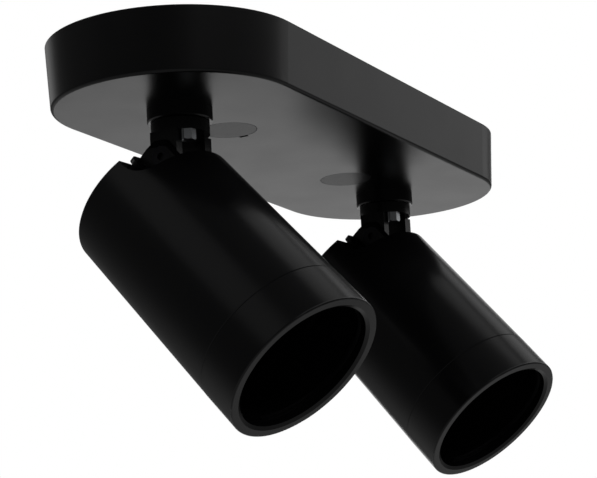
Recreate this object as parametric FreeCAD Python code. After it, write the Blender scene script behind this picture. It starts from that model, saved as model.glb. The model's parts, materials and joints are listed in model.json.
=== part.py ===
import FreeCAD, Part
import math
import os

# Two-head pivoting spotlight, hung under its mounting face.
# Origin: centre of the canopy's mounting face. +Z points into the wall or ceiling, +X runs
# along the canopy, and the heads point towards -Y. All sizes are millimetres and degrees.

# Canopy: an obround pan, open towards the mounting face
CANOPY_CENTRE = 82.5        # half distance between the centres of the two round ends
CANOPY_R_TOP = 45.3         # end radius at the mounting face
CANOPY_R_LOW = 43.9         # end radius at the lower face, smaller by the draft
CANOPY_H = 22.7
CANOPY_FLOOR = 2.0
CANOPY_WALL = 1.6
CANOPY_EDGE = 1.2           # rounding of the lower edge

# Cover caps and the wells behind them, which hold the fixing screws
CAP_X = 46.7
CAP_R = 10.05
CAP_GAP = 0.22
CAP_T = 1.6
WELL_WALL = 1.5
WELL_TOP = -12.0            # height of the well's upper side
WELL_FLOOR = 1.5
PRY_W = 3.6                 # pry notch in the rim of the left cap's seat
PRY_D = 1.3
SKIRT_R = 9.4               # split skirt of a cap
SKIRT_WALL = 1.4
SKIRT_H = 6.0
SKIRT_SLIT = 2.4

# Ceiling bracket: a hat shaped strap of sheet steel
STRAP_T = 1.5
STRAP_W = 22.0
STRAP_HALF = 37.0           # half length of the raised middle
TAB_END = 55.0
SLOT_X = 25.0               # place of the two fixing slots
SLOT_R = 2.6
SLOT_LENGTH = 14.0
CABLE_R = 6.5
GROMMET_BORE_R = 4.2
GROMMET_FLANGE = 1.6

# Canopy screws, M4, through the wells into the bracket's tabs
M4_R = 2.1
M4_HOLE_R = 2.15
M4_PASS_R = 2.7
M4_HEAD_R = 4.4
M4_HEAD_H = 3.0
M4_SOCKET = 3.0
M4_LENGTH = 12.0

# Earth screw, and the terminal block with its three poles
EARTH_AT = (14.0, 7.0)
EARTH_R = 1.95
EARTH_HEAD_R = 3.6
EARTH_HEAD_H = 2.4
EARTH_CUP_R = 4.5
BLOCK_Y0 = 16.0
BLOCK_Y1 = 30.0
BLOCK_HALF_L = 16.0
BLOCK_BASE_H = 6.0
BLOCK_H = 12.0
POLES = (-10.5, 0.0, 10.5)
POLE_HALF_W = 4.0
POLE_BORE_R = 1.9
POLE_SCREWS_Y = (19.5, 26.5)
POLE_SCREW_R = 1.5
POLE_SCREW_H = 4.2

# Stems
STEM_X = 81.1
COLLAR_R = 11.5
COLLAR_H = 4.9
COLLAR_EDGE = 0.4
STEM_HOLE_R = 6.5           # hole in the canopy, which the collar's short sleeve fills
SPIGOT_R = 4.95
SPIGOT_TOP = -7.0
RUN_GAP = 0.05              # radial clearance of a part that turns in a hole
STEM_BORE_R = 3.0
STEM_R = 10.3
STEM_TOP = -27.9
SHOULDER_Z = -32.3          # underside of the round part, where the fork begins
FORK_HALF_T = 5.5           # half thickness of the fork, front to rear
FORK_HALF_W = 10.6          # half width over the two arms
SLOT_NEAR = -7.2            # inner face of the fork arm on the -X side
SLOT_FAR = 6.5              # inner face of the other arm
FORK_END_R = 6.9
WASHER_SINK = 0.4           # depth of the friction washers' seats in the arms
CLAMP_AT = (6.6, -4.8)      # clamp screw under the shoulder, forwards and sideways
CLAMP_FLATS = 4.6
CLAMP_HEAD_H = 3.8
CLAMP_R = 1.5
NUT_Z = -17.4               # lower face of the thin nut inside the canopy
NUT_FLATS = 17.0
NUT_H = 5.0
WAVE_IN = 5.4
WAVE_OUT = 9.0
WAVE_Z = -18.1
WAVE_SWING = 0.28
WAVE_T = 0.4
SLIDE_OUT = 10.5
SLIDE_IN = 5.2
SLIDE_T = 1.6

# Pivot, and its place in a head: along from the rear face, up from the head's axis
PIVOT_Z = -42.0
PIVOT_ALONG = 3.0
PIVOT_UP = 18.05
PIVOT_R = 2.0
PIVOT_HEAD_R = 3.7
PIVOT_HEAD_H = 1.5
PIVOT_SOCKET = 2.5
PIVOT_NUT_FLATS = 7.0
PIVOT_NUT_H = 3.2
PIVOT_WASHER_R = 4.4
PIVOT_WASHER_T = 0.6
FRICTION_R = 4.2
FRICTION_T = 0.58

# Heads at rest: pan from +X, tilt down from level
REST = {"left": (-STEM_X, -94.4, 48.2), "right": (STEM_X, -95.4, 49.8)}

# Head housing, measured along from the rear face
HEAD_L = 91.7
HEAD_R_REAR = 28.65
HEAD_R_SEAM = 29.85
SEAM_AT = 74.9
SEAM_GAP = 0.12
SEAM_EDGE = 0.15
REAR_WALL = 3.0
CAVITY_R = 25.6
SEAT_R = 27.7               # counterbore that takes the front ring's sleeve
SEAT_AT = 68.0

# Step across the rear of the housing, under the stem
STEP_FLOOR = 10.65
STEP_WALL = 10.8
STEP_CORNER_R = 8.0
PAD_LENGTH = 6.2            # thick pads inside, which take the bracket's screws
PAD_HALF_W = 3.4
PAD_LOW = 1.5
INNER_FLOOR = 6.65          # the same step seen from inside, where the skin is thicker
INNER_WALL = 13.3
INNER_CORNER_R = 5.0
LEAD_UP = 15.6              # height of the lead's hole in the wall of the step
LEAD_HOLE_R = 3.5
LEAD_BORE_R = 2.2

# Front ring
RING_R = 30.0
RIM_ROUND = 0.6             # round on the outer edge of the mouth
LIP_R = 25.8
LIP_BEVEL = 1.2             # bevel from the face of the mouth into the bore of the lip
LIP_BEVEL_DEPTH = 0.8
LIP_AT = 88.3
RING_BORE_R = 26.6
SLEEVE_R = 27.6
CLIP_AT = 86.2              # retaining ring of flat wire, open at one side
CLIP_IN = 25.5
CLIP_OUT = 26.5
CLIP_W = 0.9
CLIP_TURN = 336

# Tilt bracket: a base let into the step, two lugs, and a round foot outside each lug
BASE_T = 1.5
BASE_LENGTH = 5.6
BASE_HALF_W = 18.8
LUG_IN = 10.9
LUG_OUT = 12.6
LUG_BEVEL = 0.9
LUG_TOP = 23.3
LUG_REAR = -3.5
LUG_DOG_EAR = 3.3
FOOT_T = 1.7
FOOT_R = 4.0
FOOT_ALONG = 0.4
FOOT_L = 14.8
BRACKET_SCREW_ALONG = 1.9
BRACKET_SCREW_L = 15.2
BRACKET_SCREW_R = 1.25
BRACKET_HEAD_R = 2.2
BRACKET_HEAD_H = 1.2
BRACKET_SCREW_LENGTH = 9.0
BRACKET_SOCKET = 1.5

# Lamp holder and its strap
HOLDER_AT = 16.5
HOLDER_R = 12.8
HOLDER_H = 19.0
POST_L = 20.5
POST_R = 3.6
POST_HOLE = 8.0
HOLDER_STRAP_T = 1.5
HOLDER_STRAP_W = 12.0
HOLDER_EAR_R = 4.4
HOLDER_SCREW_R = 1.25
HOLDER_HEAD_R = 2.8
HOLDER_HEAD_H = 2.0
PIN_HOLE_R = 2.5
PIN_SPACING = 10.0
PIN_DEPTH = 8.0
PIN_TWIST_W = 2.6           # slot that leads from each pin hole, for the twist
PIN_TWIST_L = 4.6

X = FreeCAD.Vector(1, 0, 0)
Y = FreeCAD.Vector(0, 1, 0)
Z = FreeCAD.Vector(0, 0, 1)


def vec(x, y, z):
    return FreeCAD.Vector(x, y, z)


def cyl(radius, start, axis, length):
    """A cylinder from start, along axis."""
    return Part.makeCylinder(radius, length, start, axis)


def ring(outer, inner, start, axis, length):
    """A plain washer or bush."""
    return cyl(outer, start, axis, length).cut(cyl(inner, start, axis, length))


def box(x0, x1, y0, y1, z0, z1):
    return Part.makeBox(x1 - x0, y1 - y0, z1 - z0, vec(x0, y0, z0))


def revolve_x(points):
    """A solid turned about the X axis from an outline of (x, radius) points."""
    corners = [vec(x, 0, r) for x, r in points]
    face = Part.Face(Part.makePolygon(corners + corners[:1]))
    return face.revolve(vec(0, 0, 0), X, 360)


def prism_y(points, y0, y1):
    """A solid from an outline of (x, z) points, between two places along Y."""
    corners = [vec(x, y0, z) for x, z in points]
    face = Part.Face(Part.makePolygon(corners + corners[:1]))
    return face.extrude(vec(0, y1 - y0, 0))


def hex_prism(flats, start, axis, length):
    """A hexagon with the given width across flats, standing on start."""
    corner_r = flats / math.sqrt(3)
    side = Y if abs(axis.dot(Y)) < 0.5 else X
    other = axis.cross(side)
    corners = []
    for k in range(6):
        turn = math.radians(60 * k)
        corners.append(start + side * (corner_r * math.cos(turn)) + other * (corner_r * math.sin(turn)))
    face = Part.Face(Part.makePolygon(corners + corners[:1]))
    return face.extrude(axis * length)


def obround(half_span, radius, z):
    """A closed outline of two half circles joined by straight sides."""
    right_low = vec(half_span, -radius, z)
    right_high = vec(half_span, radius, z)
    left_high = vec(-half_span, radius, z)
    left_low = vec(-half_span, -radius, z)
    edges = [
        Part.Arc(right_low, vec(half_span + radius, 0, z), right_high).toShape(),
        Part.LineSegment(right_high, left_high).toShape(),
        Part.Arc(left_high, vec(-half_span - radius, 0, z), left_low).toShape(),
        Part.LineSegment(left_low, right_low).toShape(),
    ]
    return Part.Wire(edges)


def tapered_obround(z_top, z_low, inset):
    """The canopy's drafted form between two heights, made smaller by inset."""
    wires = []
    for z in (z_top, z_low):
        radius = CANOPY_R_TOP + (CANOPY_R_TOP - CANOPY_R_LOW) * z / CANOPY_H - inset
        wires.append(obround(CANOPY_CENTRE, radius, z))
    return Part.makeLoft(wires, True, True)


def slot_hole(x, z0, z1):
    """Cutter for one fixing slot, long in X."""
    reach = SLOT_LENGTH / 2 - SLOT_R
    wire = obround(reach, SLOT_R, z0)
    wire.translate(vec(x, 0, 0))
    return Part.Face(wire).extrude(vec(0, 0, z1 - z0))


# Canopy and what is fixed in it

def make_canopy():
    body = tapered_obround(0, -CANOPY_H, 0)
    low_edges = [e for e in body.Edges if e.BoundBox.ZMax < -CANOPY_H + 0.01]
    body = body.makeFillet(CANOPY_EDGE, low_edges)
    body = body.cut(tapered_obround(0, -CANOPY_H + CANOPY_FLOOR, CANOPY_WALL))
    seat_r = CAP_R + CAP_GAP
    for x in (-CAP_X, CAP_X):
        inner_floor = -CANOPY_H + CANOPY_FLOOR
        well = cyl(seat_r + WELL_WALL, vec(x, 0, inner_floor), Z, WELL_TOP - inner_floor)
        body = body.fuse(well)
    for x in (-CAP_X, CAP_X):
        well_depth = WELL_TOP - WELL_FLOOR + CANOPY_H
        body = body.cut(cyl(seat_r, vec(x, 0, -CANOPY_H), Z, well_depth))
        body = body.cut(cyl(M4_PASS_R, vec(x, 0, -CANOPY_H), Z, CANOPY_H))
    notch_x = -CAP_X + seat_r
    notch = box(notch_x - 1, notch_x + PRY_D, -PRY_W / 2, PRY_W / 2,
                -CANOPY_H, -CANOPY_H + PRY_D)
    body = body.cut(notch)
    for x in (-STEM_X, STEM_X):
        body = body.cut(cyl(STEM_HOLE_R, vec(x, 0, -CANOPY_H), Z, CANOPY_H))
    return body.removeSplitter()


def make_cap(x):
    """Snap-in cap: a flush disc on a thin split skirt."""
    disc = cyl(CAP_R, vec(x, 0, -CANOPY_H), Z, CAP_T)
    skirt = ring(SKIRT_R, SKIRT_R - SKIRT_WALL, vec(x, 0, -CANOPY_H), Z, SKIRT_H)
    for turn in (0, 90):
        slit = box(-CAP_R, CAP_R, -SKIRT_SLIT / 2, SKIRT_SLIT / 2,
                   -CANOPY_H + CAP_T, -CANOPY_H + SKIRT_H)
        slit.rotate(vec(0, 0, 0), Z, turn)
        slit.translate(vec(x, 0, 0))
        skirt = skirt.cut(slit)
    return disc.fuse(skirt)


def make_canopy_screws():
    """Pan head screws in the wells, into the bracket's threaded tabs."""
    screws = []
    low = WELL_TOP - WELL_FLOOR - M4_HEAD_H
    for x in (-CAP_X, CAP_X):
        head = cyl(M4_HEAD_R, vec(x, 0, low), Z, M4_HEAD_H)
        shank = cyl(M4_R, vec(x, 0, low), Z, M4_LENGTH)
        socket = hex_prism(M4_SOCKET, vec(x, 0, low), Z, M4_HEAD_H / 2)
        screws.append(head.fuse(shank).cut(socket))
    return Part.makeCompound(screws)


def make_bracket():
    """Hat shaped strap: raised middle on the ceiling, a lower tab at each end."""
    tab_top = WELL_TOP + 0.1 + STRAP_T
    half = [(0, 0), (STRAP_HALF, 0), (STRAP_HALF, tab_top), (TAB_END, tab_top)]
    under = [(TAB_END, tab_top - STRAP_T), (STRAP_HALF - STRAP_T, tab_top - STRAP_T)]
    under += [(STRAP_HALF - STRAP_T, -STRAP_T), (0, -STRAP_T)]
    right = prism_y(half + under, -STRAP_W / 2, STRAP_W / 2)
    left = right.mirror(vec(0, 0, 0), X)
    strap = right.fuse(left).removeSplitter()
    strap = strap.cut(cyl(CABLE_R, vec(0, 0, -STRAP_T), Z, STRAP_T))
    for x in (-SLOT_X, SLOT_X):
        strap = strap.cut(slot_hole(x, -STRAP_T, 0))
    for x in (-CAP_X, CAP_X):
        strap = strap.cut(cyl(M4_HOLE_R, vec(x, 0, tab_top - STRAP_T), Z, STRAP_T))
    earth_hole = cyl(EARTH_R + 0.1, vec(EARTH_AT[0], EARTH_AT[1], -STRAP_T), Z, STRAP_T)
    return strap.cut(earth_hole)


def make_cable_grommet():
    """Rubber ring that lines the cable hole, with a flange below the strap."""
    low = -STRAP_T - GROMMET_FLANGE
    sleeve = ring(CABLE_R - 0.05, GROMMET_BORE_R, vec(0, 0, low), Z, -low)
    flange = ring(CABLE_R + GROMMET_FLANGE, GROMMET_BORE_R, vec(0, 0, low), Z, GROMMET_FLANGE - 0.1)
    return sleeve.fuse(flange)


def make_terminal_block():
    """Three pole block on the canopy's inner floor, with a bore per pole."""
    low = -CANOPY_H + CANOPY_FLOOR
    body = box(-BLOCK_HALF_L, BLOCK_HALF_L, BLOCK_Y0, BLOCK_Y1, low, low + BLOCK_BASE_H)
    for x in POLES:
        body = body.fuse(box(x - POLE_HALF_W, x + POLE_HALF_W, BLOCK_Y0, BLOCK_Y1,
                             low + BLOCK_BASE_H - 1, low + BLOCK_H))
    bore_z = low + BLOCK_BASE_H - 1
    for x in POLES:
        body = body.cut(cyl(POLE_BORE_R, vec(x, BLOCK_Y0, bore_z), Y, BLOCK_Y1 - BLOCK_Y0))
        for y in POLE_SCREWS_Y:
            body = body.cut(cyl(POLE_SCREW_R + 0.1, vec(x, y, bore_z), Z, BLOCK_H))
    return body


def make_terminal_screws():
    """Brass screws of the terminal block."""
    low = -CANOPY_H + CANOPY_FLOOR + BLOCK_H - 0.8 - POLE_SCREW_H
    screws = []
    for x in POLES:
        for y in POLE_SCREWS_Y:
            screws.append(cyl(POLE_SCREW_R, vec(x, y, low), Z, POLE_SCREW_H))
    return Part.makeCompound(screws)


def make_earth_screw():
    """Earth terminal: pan head screw and cup washer under the strap."""
    cup_t = 1.0
    cup = cyl(EARTH_CUP_R, vec(EARTH_AT[0], EARTH_AT[1], -STRAP_T - cup_t - 0.1), Z, cup_t)
    low = vec(EARTH_AT[0], EARTH_AT[1], -STRAP_T - cup_t - 0.1 - EARTH_HEAD_H)
    head = cyl(EARTH_HEAD_R, low, Z, EARTH_HEAD_H)
    shank = cyl(EARTH_R, low, Z, -low.z - 0.1)
    return head.fuse(shank).fuse(cup)


def make_collar(x):
    """Collar under the canopy, with a short spigot that centres it in the hole."""
    low = -CANOPY_H - COLLAR_H
    body = cyl(COLLAR_R, vec(x, 0, low), Z, COLLAR_H)
    rim = [e for e in body.Edges if e.BoundBox.ZMax < low + 0.01]
    body = body.makeChamfer(COLLAR_EDGE, rim)
    sleeve = cyl(STEM_HOLE_R - 0.05, vec(x, 0, low), Z, COLLAR_H + CANOPY_FLOOR - 0.1)
    body = body.fuse(sleeve)
    return body.cut(cyl(SPIGOT_R + RUN_GAP, vec(x, 0, low), Z, COLLAR_H + CANOPY_FLOOR))


# Stem, in its own frame: X forwards, Y sideways, Z up, on the stem's axis

def make_stem():
    """Round part under the collar, and a fork milled flat on its four sides."""
    fork_low = PIVOT_Z - FORK_END_R
    fork = box(-FORK_HALF_T, FORK_HALF_T, -FORK_HALF_W, FORK_HALF_W, fork_low, SHOULDER_Z)
    end = box(-FORK_HALF_T, FORK_HALF_T, -FORK_HALF_W, FORK_HALF_W, PIVOT_Z, SHOULDER_Z)
    end = end.fuse(cyl(FORK_END_R, vec(0, -FORK_HALF_W, PIVOT_Z), Y, 2 * FORK_HALF_W))
    fork = fork.common(end)
    fork = fork.cut(box(-STEM_R, STEM_R, SLOT_NEAR, SLOT_FAR, fork_low, SHOULDER_Z))
    stem = cyl(STEM_R, vec(0, 0, SHOULDER_Z), Z, STEM_TOP - SHOULDER_Z).fuse(fork)
    stem = stem.fuse(cyl(SPIGOT_R, vec(0, 0, STEM_TOP), Z, SPIGOT_TOP - STEM_TOP))
    stem = stem.cut(cyl(STEM_BORE_R, vec(0, 0, SHOULDER_Z), Z, SPIGOT_TOP - SHOULDER_Z))
    stem = stem.cut(cyl(PIVOT_R + RUN_GAP, vec(0, -FORK_HALF_W, PIVOT_Z), Y, 2 * FORK_HALF_W))
    for side in (-1, 1):
        start = vec(0, side * (FORK_HALF_W - WASHER_SINK), PIVOT_Z)
        stem = stem.cut(cyl(FRICTION_R + 0.1, start, Y * side, WASHER_SINK + 1))
    clamp_at = vec(CLAMP_AT[0], CLAMP_AT[1], SHOULDER_Z)
    stem = stem.cut(cyl(CLAMP_R + 0.03, clamp_at, Z, CLAMP_HEAD_H + 0.1))
    return stem.removeSplitter()


def make_clamp_screw():
    """Zinc plated hexagon screw that grips the lead under the shoulder."""
    low = vec(CLAMP_AT[0], CLAMP_AT[1], SHOULDER_Z - CLAMP_HEAD_H)
    head = hex_prism(CLAMP_FLATS, low, Z, CLAMP_HEAD_H)
    crown = Part.makeCone(CLAMP_FLATS / 2 - 0.1, CLAMP_FLATS, CLAMP_FLATS / 2 + 0.1, low, Z)
    crown = crown.fuse(cyl(CLAMP_FLATS, low + vec(0, 0, CLAMP_FLATS / 2), Z, CLAMP_HEAD_H))
    return head.common(crown).fuse(cyl(CLAMP_R, low, Z, 2 * CLAMP_HEAD_H - 0.2))


def make_friction_washers():
    """Nylon washers between the fork's arms and the lugs."""
    washers = []
    for side in (-1, 1):
        start = vec(0, side * (FORK_HALF_W - WASHER_SINK + 0.02), PIVOT_Z)
        washers.append(ring(FRICTION_R, PIVOT_R + 0.1, start, Y * side, FRICTION_T))
    return Part.makeCompound(washers)


def make_lock_nut():
    """Thin nut on the spigot, inside the canopy."""
    low = vec(0, 0, NUT_Z)
    nut = hex_prism(NUT_FLATS, low, Z, NUT_H)
    nut = nut.common(cyl(NUT_FLATS / 2 + 0.9, low, Z, NUT_H))
    return nut.cut(cyl(SPIGOT_R + 0.02, low, Z, NUT_H))


def make_wave_washer():
    """Spring washer under the nut, a ruled strip with three waves."""
    steps = 12
    sections = []
    for k in range(steps):
        turn = 2 * math.pi * k / steps
        rise = vec(0, 0, WAVE_Z + WAVE_SWING * math.cos(3 * turn))
        out = vec(math.cos(turn), math.sin(turn), 0)
        low_in = out * WAVE_IN + rise
        low_out = out * WAVE_OUT + rise
        thick = vec(0, 0, WAVE_T)
        corners = [low_in, low_out, low_out + thick, low_in + thick]
        sections.append(Part.makePolygon(corners + corners[:1]))
    return Part.makeLoft(sections + sections[:1], True, True)


def make_slide_washer():
    """Nylon washer between the wave washer and the canopy."""
    return ring(SLIDE_OUT, SLIDE_IN, vec(0, 0, -CANOPY_H + CANOPY_FLOOR + 0.1), Z, SLIDE_T)


# Head, in its own frame: X forwards from the rear face, Y sideways, Z towards the stem

def step_outline(floor, wall, corner_r):
    """Outline, in X and Z, of the step cut from the rear, with a round inner corner."""
    far = 40.0
    centre = vec(wall - corner_r, 0, floor + corner_r)
    mid = centre + vec(corner_r * math.sin(math.pi / 4), 0, -corner_r * math.cos(math.pi / 4))
    start = vec(wall - corner_r, 0, floor)
    end = vec(wall, 0, floor + corner_r)
    edges = [
        Part.LineSegment(vec(-far, 0, floor), start).toShape(),
        Part.Arc(start, mid, end).toShape(),
        Part.LineSegment(end, vec(wall, 0, far)).toShape(),
        Part.LineSegment(vec(wall, 0, far), vec(-far, 0, far)).toShape(),
        Part.LineSegment(vec(-far, 0, far), vec(-far, 0, floor)).toShape(),
    ]
    return Part.Wire(edges)


def step_cutter(floor, wall, corner_r):
    face = Part.Face(step_outline(floor, wall, corner_r))
    face.translate(vec(0, -40, 0))
    return face.extrude(vec(0, 80, 0))


def step_void():
    """The room that the step leaves open, in which the bracket stands."""
    return step_cutter(STEP_FLOOR, STEP_WALL, STEP_CORNER_R)


def make_housing():
    edge = 0.5
    seam_end = SEAM_AT - SEAM_GAP / 2
    seam_r = HEAD_R_SEAM
    outer = revolve_x([
        (0, 0), (0, HEAD_R_REAR - edge), (edge, HEAD_R_REAR),
        (seam_end - SEAM_EDGE, seam_r), (seam_end, seam_r - SEAM_EDGE), (seam_end, 0),
    ])
    body = outer.cut(step_void())
    pocket_z = STEP_FLOOR - BASE_T
    body = body.cut(box(0, BASE_LENGTH, -BASE_HALF_W, BASE_HALF_W, pocket_z, STEP_FLOOR + BASE_T))
    cavity = cyl(CAVITY_R, vec(REAR_WALL, 0, 0), X, HEAD_L)
    cavity = cavity.cut(step_cutter(INNER_FLOOR, INNER_WALL, INNER_CORNER_R))
    for side in (-1, 1):
        pad = box(0, PAD_LENGTH, BRACKET_SCREW_L - PAD_HALF_W, BRACKET_SCREW_L + PAD_HALF_W,
                  PAD_LOW, STEP_FLOOR)
        post = cyl(POST_R, vec(0, POST_L, 0), X, HOLDER_AT - HOLDER_STRAP_T)
        if side < 0:
            pad = pad.mirror(vec(0, 0, 0), Y)
            post = post.mirror(vec(0, 0, 0), Y)
        cavity = cavity.cut(pad).cut(post)
    body = body.cut(cavity)
    body = body.cut(cyl(SEAT_R, vec(SEAT_AT, 0, 0), X, HEAD_L))
    for side in (-1, 1):
        screw_at = vec(BRACKET_SCREW_ALONG, side * BRACKET_SCREW_L, pocket_z)
        body = body.cut(cyl(BRACKET_SCREW_R + 0.03, screw_at, Z * -1, pocket_z - PAD_LOW - 1))
        post_at = vec(HOLDER_AT - HOLDER_STRAP_T, side * POST_L, 0)
        body = body.cut(cyl(HOLDER_SCREW_R + 0.03, post_at, X * -1, POST_HOLE))
    lead_start = STEP_WALL - 4
    body = body.cut(cyl(LEAD_HOLE_R, vec(lead_start, 0, LEAD_UP), X, INNER_WALL + 1 - lead_start))
    return body.removeSplitter()


def make_front_ring():
    seam = SEAM_AT + SEAM_GAP / 2
    outline = [
        (SEAT_AT + 0.3, SLEEVE_R), (seam, SLEEVE_R), (seam, RING_R - 0.1 - SEAM_EDGE),
        (seam + SEAM_EDGE, RING_R - 0.1), (HEAD_L, RING_R), (HEAD_L, LIP_R + LIP_BEVEL),
        (HEAD_L - LIP_BEVEL_DEPTH, LIP_R), (LIP_AT, LIP_R),
        (LIP_AT, RING_BORE_R), (SEAT_AT + 0.3, RING_BORE_R),
    ]
    ring = revolve_x(outline)
    rim = [e for e in ring.Edges if e.BoundBox.XMin > HEAD_L - 0.01 and e.BoundBox.ZMax > RING_R - 0.01]
    return ring.makeFillet(RIM_ROUND, rim)


def make_retaining_ring():
    """Spring ring of flat wire behind the lip, open at one side."""
    corners = [vec(x, 0, r) for x, r in (
        (CLIP_AT, CLIP_IN), (CLIP_AT + CLIP_W, CLIP_IN),
        (CLIP_AT + CLIP_W, CLIP_OUT), (CLIP_AT, CLIP_OUT),
    )]
    section = Part.Face(Part.makePolygon(corners + corners[:1]))
    spring = section.revolve(vec(0, 0, 0), X, CLIP_TURN)
    spring.rotate(vec(0, 0, 0), X, 180 + (360 - CLIP_TURN) / 2)
    return spring


def lug_outline(corner_in, top_in):
    """Side view of a lug; the dog-eared rear corner and the top may stand in for the bevel."""
    top = LUG_TOP - top_in
    corner = LUG_TOP - LUG_DOG_EAR - corner_in
    front = STEP_WALL + 1
    return [
        (LUG_REAR, STEP_FLOOR), (LUG_REAR, corner), (LUG_REAR + top - corner, top),
        (front, top), (front, STEP_FLOOR),
    ]


def make_lug():
    """One lug on the +Y side, with its outer face bevelled along the top and rear corner."""
    full = lug_outline(0, 0)
    small = lug_outline(3.7, 1.3)
    bevel_start = LUG_OUT - LUG_BEVEL
    lug = prism_y(full, LUG_IN, bevel_start)
    wires = []
    for outline, y in ((full, bevel_start), (small, LUG_OUT)):
        corners = [vec(x, y, z) for x, z in outline]
        wires.append(Part.makePolygon(corners + corners[:1]))
    lug = lug.fuse(Part.makeLoft(wires, True, True))
    foot = cyl(FOOT_R, vec(FOOT_ALONG, FOOT_L, STEP_FLOOR), Z, FOOT_T)
    foot = foot.fuse(box(FOOT_ALONG - FOOT_R, FOOT_ALONG + FOOT_R, LUG_IN + 0.5, FOOT_L,
                         STEP_FLOOR, STEP_FLOOR + FOOT_T))
    foot = foot.cut(box(-FOOT_R * 2, FOOT_R * 2, 0, LUG_IN + 0.5, STEP_FLOOR, STEP_FLOOR + FOOT_T))
    return lug.fuse(foot).common(step_void())


def make_tilt_bracket():
    base = box(0, BASE_LENGTH, -BASE_HALF_W, BASE_HALF_W, STEP_FLOOR - BASE_T, STEP_FLOOR + BASE_T)
    base = base.cut(step_void())
    lug = make_lug()
    bracket = base.fuse(lug).fuse(lug.mirror(vec(0, 0, 0), Y))
    bore_start = vec(PIVOT_ALONG, -LUG_OUT - 1, PIVOT_UP)
    bracket = bracket.cut(cyl(PIVOT_R + 0.03, bore_start, Y, 2 * LUG_OUT + 2))
    sink = Part.makeCone(3.75, 2.03, 1.55, vec(PIVOT_ALONG, -LUG_OUT, PIVOT_UP), Y)
    bracket = bracket.cut(sink)
    for side in (-1, 1):
        top = vec(BRACKET_SCREW_ALONG, side * BRACKET_SCREW_L, STEP_FLOOR + FOOT_T)
        bracket = bracket.cut(cyl(BRACKET_SCREW_R + 0.1, top, Z * -1, FOOT_T + BASE_T))
        bracket = bracket.cut(Part.makeCone(BRACKET_HEAD_R + 0.05, BRACKET_SCREW_R + 0.05,
                                            BRACKET_HEAD_H, top, Z * -1))
    return bracket.removeSplitter()


def make_bracket_screws():
    """Countersunk screws with sockets, which hold the bracket's feet on the step."""
    screws = []
    for side in (-1, 1):
        top = vec(BRACKET_SCREW_ALONG, side * BRACKET_SCREW_L, STEP_FLOOR + FOOT_T - 0.05)
        head = Part.makeCone(BRACKET_HEAD_R, BRACKET_SCREW_R, BRACKET_HEAD_H - 0.1, top, Z * -1)
        shank = cyl(BRACKET_SCREW_R, top, Z * -1, BRACKET_SCREW_LENGTH)
        socket = hex_prism(BRACKET_SOCKET, top, Z * -1, 0.9)
        screws.append(head.fuse(shank).cut(socket))
    return Part.makeCompound(screws)


def make_pivot_screw():
    """Countersunk screw through lugs and fork arms."""
    start = vec(PIVOT_ALONG, -LUG_OUT + 0.02, PIVOT_UP)
    head = Part.makeCone(PIVOT_HEAD_R, PIVOT_R, PIVOT_HEAD_H, start, Y)
    shank = cyl(PIVOT_R, start, Y, 2 * LUG_OUT + PIVOT_WASHER_T + PIVOT_NUT_H + 0.4)
    return head.fuse(shank).cut(hex_prism(PIVOT_SOCKET, start, Y, PIVOT_HEAD_H - 0.3))


def make_pivot_nut():
    """Washer and nut on the +Y lug."""
    start = vec(PIVOT_ALONG, LUG_OUT, PIVOT_UP)
    washer = ring(PIVOT_WASHER_R, PIVOT_R + 0.1, start, Y, PIVOT_WASHER_T)
    nut = hex_prism(PIVOT_NUT_FLATS, start + vec(0, PIVOT_WASHER_T, 0), Y, PIVOT_NUT_H)
    nut = nut.cut(cyl(PIVOT_R + 0.02, start, Y, PIVOT_WASHER_T + PIVOT_NUT_H))
    return washer.fuse(nut)


def make_lead_grommet():
    """Bush that lines the lead's hole in the wall of the step."""
    start = vec(STEP_WALL + 0.1, 0, LEAD_UP)
    flange_at = vec(INNER_WALL + 0.1, 0, LEAD_UP)
    flange_t = 0.9
    sleeve = ring(LEAD_HOLE_R - 0.05, LEAD_BORE_R, start, X, flange_at.x - start.x + flange_t)
    flange = ring(LEAD_HOLE_R + 1.1, LEAD_BORE_R, flange_at, X, flange_t)
    return sleeve.fuse(flange)


def make_holder_strap():
    """Cross strap that carries the lamp holder on the housing's two posts."""
    rear = HOLDER_AT - HOLDER_STRAP_T
    strap = box(rear, HOLDER_AT, -POST_L, POST_L, -HOLDER_STRAP_W / 2, HOLDER_STRAP_W / 2)
    for side in (-1, 1):
        ear_at = vec(rear, side * (POST_L - 0.5), 0)
        strap = strap.fuse(cyl(HOLDER_EAR_R, ear_at, X, HOLDER_STRAP_T))
    for side in (-1, 1):
        hole_at = vec(rear, side * POST_L, 0)
        strap = strap.cut(cyl(HOLDER_SCREW_R + 0.35, hole_at, X, HOLDER_STRAP_T))
    strap = strap.cut(cyl(4.0, vec(rear, 0, 0), X, HOLDER_STRAP_T))
    return strap.removeSplitter()


def make_holder_screws():
    """Two screws that hold the strap on the posts."""
    screws = []
    for side in (-1, 1):
        place = vec(HOLDER_AT, side * POST_L, 0)
        head = cyl(HOLDER_HEAD_R, place, X, HOLDER_HEAD_H)
        shank = cyl(HOLDER_SCREW_R, place, X * -1, POST_HOLE)
        socket_at = place + vec(HOLDER_HEAD_H - 1.1, 0, 0)
        screws.append(head.fuse(shank).cut(hex_prism(2.0, socket_at, X, 1.1)))
    return Part.makeCompound(screws)


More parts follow.
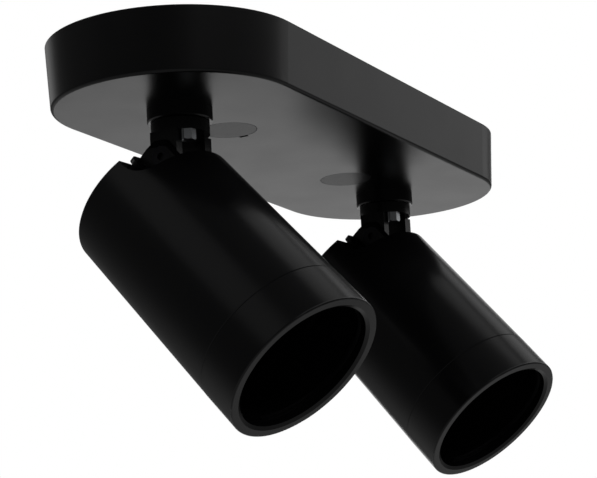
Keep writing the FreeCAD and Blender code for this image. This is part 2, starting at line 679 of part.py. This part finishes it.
def make_lamp_holder():
    """Two pin ceramic holder, with a waist, a raised rim and twist-lock pin holes."""
    front = HOLDER_AT + HOLDER_H
    waist_r = HOLDER_R - 1.5
    edge = 0.6
    body = revolve_x([
        (HOLDER_AT, 0), (HOLDER_AT, waist_r), (HOLDER_AT + 5, waist_r),
        (HOLDER_AT + 6.5, HOLDER_R), (front - edge, HOLDER_R), (front, HOLDER_R - edge), (front, 0),
    ])
    for side in (-1, 1):
        pin_y = side * PIN_SPACING / 2
        body = body.cut(cyl(PIN_HOLE_R, vec(front - PIN_DEPTH, pin_y, 0), X, PIN_DEPTH))
        body = body.cut(box(front - PIN_DEPTH, front, pin_y - PIN_TWIST_W / 2,
                            pin_y + PIN_TWIST_W / 2, 0, PIN_TWIST_L))
    return body.removeSplitter()


def in_stem(shape, side):
    """Turn a part from the stem's frame into the object's frame."""
    stem_x, pan, _ = REST[side]
    place = FreeCAD.Placement(vec(stem_x, 0, 0), FreeCAD.Rotation(Z, pan))
    return shape.transformed(place.toMatrix(), True)


def in_head(shape, side):
    """Turn a part from the head's frame into the object's frame."""
    stem_x, pan, tilt = REST[side]
    to_pivot = FreeCAD.Placement(vec(-PIVOT_ALONG, 0, -PIVOT_UP), FreeCAD.Rotation())
    tilted = FreeCAD.Placement(vec(0, 0, PIVOT_Z), FreeCAD.Rotation(Y, tilt))
    panned = FreeCAD.Placement(vec(stem_x, 0, 0), FreeCAD.Rotation(Z, pan))
    place = panned.multiply(tilted).multiply(to_pivot)
    return shape.transformed(place.toMatrix(), True)


def save(name, shape):
    solids = shape.Solids
    triangles = len(shape.tessellate(0.15)[1])
    print(name, "solids", len(solids), "valid", shape.isValid(),
          "volume", round(shape.Volume, 1), "triangles", triangles)
    shape.exportStep("parts/" + name + ".step")


os.makedirs("parts", exist_ok=True)

save("canopy", make_canopy())
save("cover_cap_left", make_cap(-CAP_X))
save("cover_cap_right", make_cap(CAP_X))
save("canopy_screws", make_canopy_screws())
save("ceiling_bracket", make_bracket())
save("cable_grommet", make_cable_grommet())
save("terminal_block", make_terminal_block())
save("terminal_screws", make_terminal_screws())
save("earth_screw", make_earth_screw())
save("collar_left", make_collar(-STEM_X))
save("collar_right", make_collar(STEM_X))

STEM_PARTS = {
    "fork_stem": make_stem(),
    "clamp_screw": make_clamp_screw(),
    "friction_washers": make_friction_washers(),
    "lock_nut": make_lock_nut(),
    "wave_washer": make_wave_washer(),
    "slide_washer": make_slide_washer(),
}
HEAD_PARTS = {
    "head_housing": make_housing(),
    "front_ring": make_front_ring(),
    "retaining_ring": make_retaining_ring(),
    "tilt_bracket": make_tilt_bracket(),
    "bracket_screws": make_bracket_screws(),
    "pivot_screw": make_pivot_screw(),
    "pivot_nut": make_pivot_nut(),
    "lead_grommet": make_lead_grommet(),
    "holder_strap": make_holder_strap(),
    "holder_screws": make_holder_screws(),
    "lamp_holder": make_lamp_holder(),
}
for side in ("left", "right"):
    for name, shape in STEM_PARTS.items():
        save(name + "_" + side, in_stem(shape, side))
    for name, shape in HEAD_PARTS.items():
        save(name + "_" + side, in_head(shape, side))
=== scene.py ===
# %% [markdown]
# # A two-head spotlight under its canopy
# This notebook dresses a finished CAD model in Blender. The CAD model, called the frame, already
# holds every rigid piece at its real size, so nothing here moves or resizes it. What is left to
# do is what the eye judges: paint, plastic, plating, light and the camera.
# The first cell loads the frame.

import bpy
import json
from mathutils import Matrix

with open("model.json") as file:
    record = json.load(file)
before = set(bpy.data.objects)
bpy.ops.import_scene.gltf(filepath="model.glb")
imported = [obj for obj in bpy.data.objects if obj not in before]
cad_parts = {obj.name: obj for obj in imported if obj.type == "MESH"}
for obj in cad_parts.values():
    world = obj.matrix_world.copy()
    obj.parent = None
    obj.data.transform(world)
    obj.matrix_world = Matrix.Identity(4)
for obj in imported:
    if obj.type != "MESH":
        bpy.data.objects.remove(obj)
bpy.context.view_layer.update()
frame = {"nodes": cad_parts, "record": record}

import json
import math

import bpy
from mathutils import Matrix, Vector

scene = bpy.context.scene
scene.view_settings.view_transform = "Standard"

# %% [markdown]
# ## Units and colours
# The frame is in metres, while a maker thinks in millimetres, so one named value turns one into
# the other. Colours are written as the sRGB hex values that a paint chart gives. Shaders work in
# linear light, so one function converts each hex value once.

# %% Units and colours
MM = 0.001


def srgb(hex_value):
    """Linear RGBA from a hex colour such as '1a1a1c'."""
    parts = [int(hex_value[k:k + 2], 16) / 255 for k in (0, 2, 4)]
    linear = [c / 12.92 if c <= 0.04045 else ((c + 0.055) / 1.055) ** 2.4 for c in parts]
    return (*linear, 1.0)


print("mid grey in linear light:", round(srgb("808080")[0], 3))

# %% [markdown]
# ## One helper for shader nodes
# A material is a small graph. Writing it by hand takes three steps per node: make it, set its
# values, and link its inputs. This helper does the three in one call, for any kind of node.
# A second one starts a material with nothing but its output, so that each recipe below shows
# its whole graph.

# %% Node helper


def add(tree, kind, settings=None, links=None):
    """Add a node. A setting is an input's value or a property; a link feeds an input."""
    node = tree.nodes.new(kind)
    for name, value in (settings or {}).items():
        if name in node.inputs:
            node.inputs[name].default_value = value
        else:
            setattr(node, name, value)
    for name, source in (links or {}).items():
        tree.links.new(source, node.inputs[name])
    return node


def new_material(name):
    """An empty node material, its tree, and the socket that takes the finished surface."""
    material = bpy.data.materials.new(name)
    material.use_nodes = True
    tree = material.node_tree
    tree.nodes.clear()
    output = add(tree, "ShaderNodeOutputMaterial")
    return material, tree, output.inputs["Surface"]


# Noise runs from 0 to 1, but nearly all of it lies between these two values. A roughness that
# follows a noise is mapped from them, so that it really reaches the ends of its range.
NOISE_LOW, NOISE_HIGH = 0.3, 0.7
print("helpers ready; noise is mapped from", NOISE_LOW, "to", NOISE_HIGH)

# %% [markdown]
# ## Satin powder coat
# The canopy, heads, rings, stems and lugs are all coated alike: polyester powder, sprayed on and
# baked at about 180 degrees. It melts into a skin some 0.08 mm thick that levels out, but not
# quite, which leaves the shallow dimples called orange peel, 1 to 2 mm from crest to crest,
# and a much finer grain on top. So the colour is almost flat, the gloss is soft, and the life of
# the surface is in its bump and in a slight unevenness of roughness. Object coordinates keep
# the pattern fixed to the metal when a head turns.
#
# Polyester has an IOR of about 1.5, and 0.5 is the plain specular level. From there the values
# were matched to the tones in the photograph. With the plain level the tubes came out too shiny,
# so theirs is lower. The canopy's flat face is seen at a grazing angle, and there a lower IOR
# and a rougher coat came closer. These are matched values, not measured ones: nothing in the
# picture says why the canopy differs.

# %% Powder coat
PEEL_MM = 1.6               # crest to crest
PEEL_HEIGHT_MM = 0.008
GRAIN_MM = 0.22
GRAIN_HEIGHT_MM = 0.0015
DRIFT_MM = 18               # patches in which the coat is a touch rougher or smoother
DRIFT_SPREAD = 0.012        # how far their roughness goes up and down
GRAIN_LIGHTER = 1.25        # the tops of the grain against its hollows


def powder_coat(name, colour, roughness, specular, ior=1.5):
    """Baked polyester powder: near flat colour, soft gloss, orange peel and fine grain."""
    material, tree, surface = new_material(name)
    place = add(tree, "ShaderNodeTexCoord").outputs["Object"]
    peel = add(tree, "ShaderNodeTexNoise", {"Scale": 1 / (PEEL_MM * MM), "Detail": 1.0},
               {"Vector": place})
    grain = add(tree, "ShaderNodeTexNoise", {"Scale": 1 / (GRAIN_MM * MM), "Detail": 2.0},
                {"Vector": place})
    drift = add(tree, "ShaderNodeTexNoise", {"Scale": 1 / (DRIFT_MM * MM), "Detail": 2.0},
                {"Vector": place})
    peel_bump = add(tree, "ShaderNodeBump", {"Strength": 1.0, "Distance": PEEL_HEIGHT_MM * MM},
                    {"Height": peel.outputs["Fac"]})
    bump = add(tree, "ShaderNodeBump", {"Strength": 1.0, "Distance": GRAIN_HEIGHT_MM * MM},
               {"Height": grain.outputs["Fac"], "Normal": peel_bump.outputs["Normal"]})
    rough = add(tree, "ShaderNodeMapRange",
                {"From Min": NOISE_LOW, "From Max": NOISE_HIGH,
                 "To Min": roughness - DRIFT_SPREAD, "To Max": roughness + DRIFT_SPREAD},
                {"Value": drift.outputs["Fac"]})
    tint = add(tree, "ShaderNodeValToRGB", links={"Fac": grain.outputs["Fac"]})
    tint.color_ramp.elements[0].color = srgb(colour)
    lighter = tuple(min(1.0, c * GRAIN_LIGHTER) for c in srgb(colour)[:3])
    tint.color_ramp.elements[1].color = (*lighter, 1.0)
    shader = add(tree, "ShaderNodeBsdfPrincipled",
                 {"IOR": ior, "Specular IOR Level": specular},
                 {"Base Color": tint.outputs["Color"], "Roughness": rough.outputs["Result"],
                  "Normal": bump.outputs["Normal"]})
    tree.links.new(shader.outputs["BSDF"], surface)
    return material


COAT_BLACK = "080809"
canopy_coat = powder_coat("satin_black_powder_coat_canopy", COAT_BLACK, 0.3, 0.38, 1.33)
head_coat = powder_coat("satin_black_powder_coat_head", COAT_BLACK, 0.24, 0.2)
ring_coat = powder_coat("satin_black_powder_coat_ring", COAT_BLACK, 0.24, 0.2)
stem_coat = powder_coat("satin_black_powder_coat_stem", COAT_BLACK, 0.24, 0.2)
lug_coat = powder_coat("satin_black_powder_coat_lug", COAT_BLACK, 0.26, 0.2)
print("the coat's black in linear light:", [round(c, 4) for c in srgb(COAT_BLACK)[:3]])

# %% [markdown]
# ## Plastics, rubber and ceramic
# The cover caps are moulded ABS with a spark-eroded texture, a touch bluer and duller than the
# coat round them. Nylon washers are off white and waxy. The lamp holder is steatite, a pressed
# and fired ceramic with a dry, speckled face, and the grommets are soft black rubber. One
# function serves them all, because they differ in colour, gloss and the size of their grain.

# %% Moulded and fired materials
MOULDED_SPREAD = 0.04       # roughness goes this far up and down with the grain


def moulded(name, colour, roughness, grain_mm, height_mm, speckle=1.12, specular=0.5):
    """Plastic, rubber or ceramic: a grain of a real size in bump, colour and roughness."""
    material, tree, surface = new_material(name)
    place = add(tree, "ShaderNodeTexCoord").outputs["Object"]
    grain = add(tree, "ShaderNodeTexNoise", {"Scale": 1 / (grain_mm * MM), "Detail": 3.0},
                {"Vector": place})
    bump = add(tree, "ShaderNodeBump", {"Strength": 1.0, "Distance": height_mm * MM},
               {"Height": grain.outputs["Fac"]})
    tint = add(tree, "ShaderNodeValToRGB", links={"Fac": grain.outputs["Fac"]})
    tint.color_ramp.elements[0].color = srgb(colour)
    lighter = tuple(min(1.0, c * speckle) for c in srgb(colour)[:3])
    tint.color_ramp.elements[1].color = (*lighter, 1.0)
    rough = add(tree, "ShaderNodeMapRange",
                {"From Min": NOISE_LOW, "From Max": NOISE_HIGH,
                 "To Min": roughness - MOULDED_SPREAD, "To Max": roughness + MOULDED_SPREAD},
                {"Value": grain.outputs["Fac"]})
    shader = add(tree, "ShaderNodeBsdfPrincipled",
                 {"IOR": 1.5, "Specular IOR Level": specular},
                 {"Base Color": tint.outputs["Color"], "Roughness": rough.outputs["Result"],
                  "Normal": bump.outputs["Normal"]})
    tree.links.new(shader.outputs["BSDF"], surface)
    return material


# Eroded ABS looks dull and even, because its tiny pits scatter what the plastic reflects.
cap_plastic = moulded("eroded_black_abs", "141518", 0.43, 0.3, 0.004, specular=0.4)
# Nylon and polyamide keep a soft, waxy gloss.
nylon = moulded("natural_nylon", "cdcabd", 0.45, 0.8, 0.004)
terminal_plastic = moulded("moulded_polyamide", "d8d8d2", 0.4, 0.5, 0.005)
# Unglazed ceramic and rubber have hardly any gloss: dry and chalky, soft and dusty.
ceramic = moulded("unglazed_steatite", "e0dccd", 0.75, 0.6, 0.02, 1.05)
rubber = moulded("moulded_black_rubber", "121212", 0.7, 0.4, 0.01)
print("moulded:", [m.name for m in (cap_plastic, nylon, terminal_plastic, ceramic, rubber)])

# %% [markdown]
# ## Plated and bare metal
# Bracket, straps and most screws are steel with a bright zinc plate. The pivot and bracket
# screws of the heads are chemically blackened, the retaining rings are drawn spring wire, and
# the terminal and earth screws are turned brass. Metal has no colour of its own under the
# gloss: its base colour is its reflection. What tells them apart is that colour, the roughness,
# and fine drawn or rolled lines, made here by stretching a noise along one direction.

# %% Metals
LINE_STRETCH = 0.08         # noise scale along a line against across it: 12 times as long
LINE_DARKER = 0.82          # the hollow of a line against its crest
METAL_SPREAD = 0.05         # roughness goes this far up and down from line to line


def metal(name, colour, roughness, line_mm, height_mm):
    """Plated, drawn or turned metal with fine lines of a real spacing."""
    material, tree, surface = new_material(name)
    place = add(tree, "ShaderNodeTexCoord").outputs["Object"]
    stretch = add(tree, "ShaderNodeMapping", {"Scale": (LINE_STRETCH, 1.0, 1.0)},
                  {"Vector": place})
    lines = add(tree, "ShaderNodeTexNoise", {"Scale": 1 / (line_mm * MM), "Detail": 3.0},
                {"Vector": stretch.outputs["Vector"]})
    bump = add(tree, "ShaderNodeBump", {"Strength": 1.0, "Distance": height_mm * MM},
               {"Height": lines.outputs["Fac"]})
    tint = add(tree, "ShaderNodeValToRGB", links={"Fac": lines.outputs["Fac"]})
    darker = tuple(c * LINE_DARKER for c in srgb(colour)[:3])
    tint.color_ramp.elements[0].color = (*darker, 1.0)
    tint.color_ramp.elements[1].color = srgb(colour)
    rough = add(tree, "ShaderNodeMapRange",
                {"From Min": NOISE_LOW, "From Max": NOISE_HIGH,
                 "To Min": roughness - METAL_SPREAD, "To Max": roughness + METAL_SPREAD},
                {"Value": lines.outputs["Fac"]})
    shader = add(tree, "ShaderNodeBsdfPrincipled", {"Metallic": 1.0},
                 {"Base Color": tint.outputs["Color"], "Roughness": rough.outputs["Result"],
                  "Normal": bump.outputs["Normal"]})
    tree.links.new(shader.outputs["BSDF"], surface)
    return material


# Zinc is pale and slightly blue, and bright enough to flash inside the dark forks.
zinc = metal("bright_zinc_plate", "b9bcbf", 0.32, 0.3, 0.004)
# Black oxide is a thin dark skin: a metal's gloss with little light in it.
black_oxide = metal("black_oxide_steel", "2a2a2c", 0.42, 0.25, 0.004)
# Spring steel stays dark grey, with fine lines from the drawing die.
spring_steel = metal("drawn_spring_steel", "4a4a4c", 0.35, 0.2, 0.003)
# Turned brass is the one warm spot, on the terminals.
brass = metal("turned_brass", "c7a45a", 0.30, 0.2, 0.004)
print("metals:", [m.name for m in (zinc, black_oxide, spring_steel, brass)])

# %% [markdown]
# ## Dress the frame
# The record gives every node a material slot. The table below says which finish stands for each
# slot, and the loop swaps it in on the CAD object itself, so that the mesh stays untouched.

# %% Assign the finishes
FINISH = {
    "canopy_coat": canopy_coat, "head_coat": head_coat, "ring_coat": ring_coat,
    "stem_coat": stem_coat, "lug_coat": lug_coat, "cap_plastic": cap_plastic,
    "zinc_steel": zinc, "dark_steel": black_oxide, "spring_steel": spring_steel,
    "nylon": nylon, "terminal_plastic": terminal_plastic, "brass_screw": brass,
    "white_ceramic": ceramic, "black_rubber": rubber,
}
for part in frame["record"]["subparts"]:
    node = frame["nodes"][part["node"]]
    for held in node.material_slots:
        held.material = FINISH[part["material_slot"]]

# %% [markdown]
# ## Camera
# The photograph looks up at the light from its left end, with a long lens and a slight tilt of
# the horizon. Working back from the outlines gives the place and three turns: yaw about the
# vertical, pitch above the horizon, and roll about the line of sight.

# %% Camera
CAMERA_PLACE_MM = Vector((-708.3, -371.6, -232.6))
YAW, PITCH, ROLL = 27.588, 12.503, -3.157       # degrees
LENS_MM = 130.9
SENSOR_MM = 36
SEES_AS_FAR_AS = 50         # metres


def camera_axes(yaw, pitch, roll):
    """Right, up and forward of a camera from its three angles in degrees."""
    y, p, r = (math.radians(a) for a in (yaw, pitch, roll))
    forward = Vector((math.cos(p) * math.cos(y), math.cos(p) * math.sin(y), math.sin(p)))
    level_right = Vector((math.sin(y), -math.cos(y), 0))
    level_up = level_right.cross(forward)
    right = level_right * math.cos(r) + level_up * math.sin(r)
    up = level_up * math.cos(r) - level_right * math.sin(r)
    return right, up, forward


right, up, forward = camera_axes(YAW, PITCH, ROLL)
camera = bpy.data.objects.new("camera", bpy.data.cameras.new("camera"))
scene.collection.objects.link(camera)
turn = Matrix((right, up, -forward)).transposed().to_4x4()
camera.matrix_world = Matrix.Translation(CAMERA_PLACE_MM * MM) @ turn
camera.data.lens = LENS_MM
camera.data.sensor_width = SENSOR_MM
camera.data.clip_end = SEES_AS_FAR_AS
scene.camera = camera
print("camera at", [round(c, 3) for c in camera.location])

# %% [markdown]
# ## Paint for the studio
# A black object is drawn by what it reflects, so the studio round it matters as much as its own
# colour. Its floor and backdrop get a matt paint that looks evenly lit to the camera and in
# reflections alike, because real lamps would leave patches of light on them that then show up in
# the gloss. To all other rays it is plain matt paint, so it passes on light as a wall or floor
# would. The floor's glow also fades with distance into the dim room: a painted fall-off of light
# that stands in for a studio floor growing dark beyond its lights. This painted fall-off leaves
# the lower edges of the heads dark, and no horizon line.

# %% Studio paint
FLOOR_SHOWN = 0.42          # linear strength of the floor near the object
BACKDROP_SHOWN = 1.0        # white
ROOM_STRENGTH = 0.116       # linear strength of the dim room round the studio
# The painted fall-off of light: the floor's glow drops from its near strength to the room's
# between these distances.
POOL_NEAR, POOL_FAR = 2.2, 6.5      # metres between which the floor fades into the room


def studio_paint(name, colour, shown_strength, far_strength=None):
    """Matt paint that looks evenly lit to the camera and in every reflection; far_strength adds a
    painted fall-off of light.
    """
    material, tree, surface = new_material(name)
    ray = add(tree, "ShaderNodeLightPath")
    seen = add(tree, "ShaderNodeMath", {"operation": "ADD", "use_clamp": True},
               {0: ray.outputs["Is Camera Ray"], 1: ray.outputs["Is Glossy Ray"]})
    shown = add(tree, "ShaderNodeMath", {"operation": "ADD", "use_clamp": True},
                {0: seen.outputs[0], 1: ray.outputs["Is Transmission Ray"]})
    matt = add(tree, "ShaderNodeBsdfDiffuse", {"Color": srgb(colour)})
    even = add(tree, "ShaderNodeEmission", {"Color": srgb("ffffff"), "Strength": shown_strength})
    # Painted fall-off of light: the glow dims with distance from the object, as a floor does
    # beyond a studio's lamps.
    if far_strength is not None:
        place = add(tree, "ShaderNodeTexCoord").outputs["Object"]
        distance = add(tree, "ShaderNodeVectorMath", {"operation": "LENGTH"}, {0: place})
        painted_light_falloff = add(tree, "ShaderNodeMapRange",
                   {"interpolation_type": "SMOOTHSTEP", "From Min": POOL_NEAR,
                    "From Max": POOL_FAR, "To Min": shown_strength, "To Max": far_strength},
                   {"Value": distance.outputs["Value"]})
        tree.links.new(painted_light_falloff.outputs["Result"], even.inputs["Strength"])
    mix = add(tree, "ShaderNodeMixShader", links={0: shown.outputs[0], 1: matt.outputs["BSDF"],
                                                  2: even.outputs["Emission"]})
    tree.links.new(mix.outputs["Shader"], surface)
    return material


floor_paint = studio_paint("pale_floor", "dadada", FLOOR_SHOWN, ROOM_STRENGTH)
backdrop_paint = studio_paint("white_backdrop", "ececec", BACKDROP_SHOWN)
print("paints:", floor_paint.name, "and", backdrop_paint.name)

# %% [markdown]
# ## Floor and backdrop
# The light hangs under its ceiling, so the floor lies more than a metre below it. The backdrop
# is a tall upright panel behind the object, turned to face the camera. It is real
# geometry and not a white world, because its mirror image is the pale sheen on the canopy's
# flat face, and a white world would wash out every other side of the object too.

# %% Floor and backdrop
FLOOR_Z = -1.1              # metres, as all lengths in this cell
FLOOR_SIZE = 60.0
PANEL_FAR = 3.4             # level distance from the camera
PANEL_LEFT = 0.50           # reach to the left of the line of sight
PANEL_RIGHT = 0.75
PANEL_HEIGHT = 2.1


def flat_quad(name, centre, across, upward, paint):
    """A painted rectangle from its centre and its two half sides."""
    mesh = bpy.data.meshes.new(name)
    signs = ((-1, -1), (1, -1), (1, 1), (-1, 1))
    corners = [centre + across * a + upward * b for a, b in signs]
    mesh.from_pydata([tuple(c) for c in corners], [], [(0, 1, 2, 3)])
    mesh.materials.append(paint)
    quad = bpy.data.objects.new(name, mesh)
    scene.collection.objects.link(quad)
    return quad


half = FLOOR_SIZE / 2
flat_quad("floor", Vector((0, 0, FLOOR_Z)), Vector((half, 0, 0)), Vector((0, half, 0)),
          floor_paint)

away = Vector((forward.x, forward.y, 0)).normalized()
side = Vector((away.y, -away.x, 0))
panel_centre = camera.location + away * PANEL_FAR
panel_centre += side * (PANEL_RIGHT - PANEL_LEFT) / 2
panel_centre.z = FLOOR_Z + PANEL_HEIGHT / 2
flat_quad("backdrop", panel_centre, side * (PANEL_RIGHT + PANEL_LEFT) / 2,
          Vector((0, 0, PANEL_HEIGHT / 2)), backdrop_paint)
print("backdrop centre:", [round(c, 2) for c in panel_centre])

# %% [markdown]
# ## World
# Beyond the backdrop and the floor is the dim room: an even grey that fills the shadows a
# little. The floor's far end has the same strength, so the two meet without a line.

# %% World
world = bpy.data.worlds.new("studio")
world.use_nodes = True
scene.world = world
room = world.node_tree
room.nodes.clear()
glow = add(room, "ShaderNodeBackground", {"Color": srgb("ffffff"), "Strength": ROOM_STRENGTH})
add(room, "ShaderNodeOutputWorld", links={"Surface": glow.outputs["Background"]})
print("room strength:", ROOM_STRENGTH)

# %% [markdown]
# ## Soft boxes
# Large soft boxes draw the long highlights: each shows in the satin coat as a blurred streak.
# A streak's place on a tube says which way the light stands, and its width and brightness say
# how large and strong the box is. Each box is given by its direction from the object and by its
# radiance, which is what a reflection copies, so a larger box isn't a brighter one. They are:
# - a long bank over the front, for the broad sheen along the heads
# - one at the right for the canopy's long side, and one high up for the heads' right shoulders
# - a narrow one beside the backdrop, for the heads' right edges
# - three round the left and behind, for the streaks on the heads' left sides and the canopy's end

# %% Soft boxes
AIM = Vector((0, 0, -60)) * MM      # the middle of the object
LAMP_FAR = 1.8              # metres from it, so that no other view's camera has one in front


def soft_box(name, azimuth, elevation, width, height, radiance):
    """An area lamp in metres, in a direction in degrees: azimuth from +X, and elevation."""
    a, e = math.radians(azimuth), math.radians(elevation)
    toward = Vector((math.cos(e) * math.cos(a), math.cos(e) * math.sin(a), math.sin(e)))
    light = bpy.data.lights.new(name, "AREA")
    light.shape = "RECTANGLE"
    light.size, light.size_y = width, height
    light.energy = math.pi * width * height * radiance
    lamp = bpy.data.objects.new(name, light)
    scene.collection.objects.link(lamp)
    lamp.location = AIM + toward * LAMP_FAR
    lamp.rotation_mode = "QUATERNION"
    lamp.rotation_quaternion = (-toward).to_track_quat("-Z", "Y")
    return lamp


soft_box("front_bank", -90, 40, 3.2, 1.0, 1.45)
soft_box("right_box", -28, 28, 1.15, 1.4, 0.65)
soft_box("high_box", -35, 65, 1.0, 0.7, 0.6)
soft_box("right_edge_box", 12, 24, 0.4, 1.1, 0.4)
soft_box("left_back_box", 120, 40, 0.9, 0.8, 1.6)
soft_box("left_edge_box", 64, 22, 0.75, 0.6, 0.5)
soft_box("left_box", 165, 38, 0.9, 1.1, 0.3)
print("lamps:", len(bpy.data.lights))
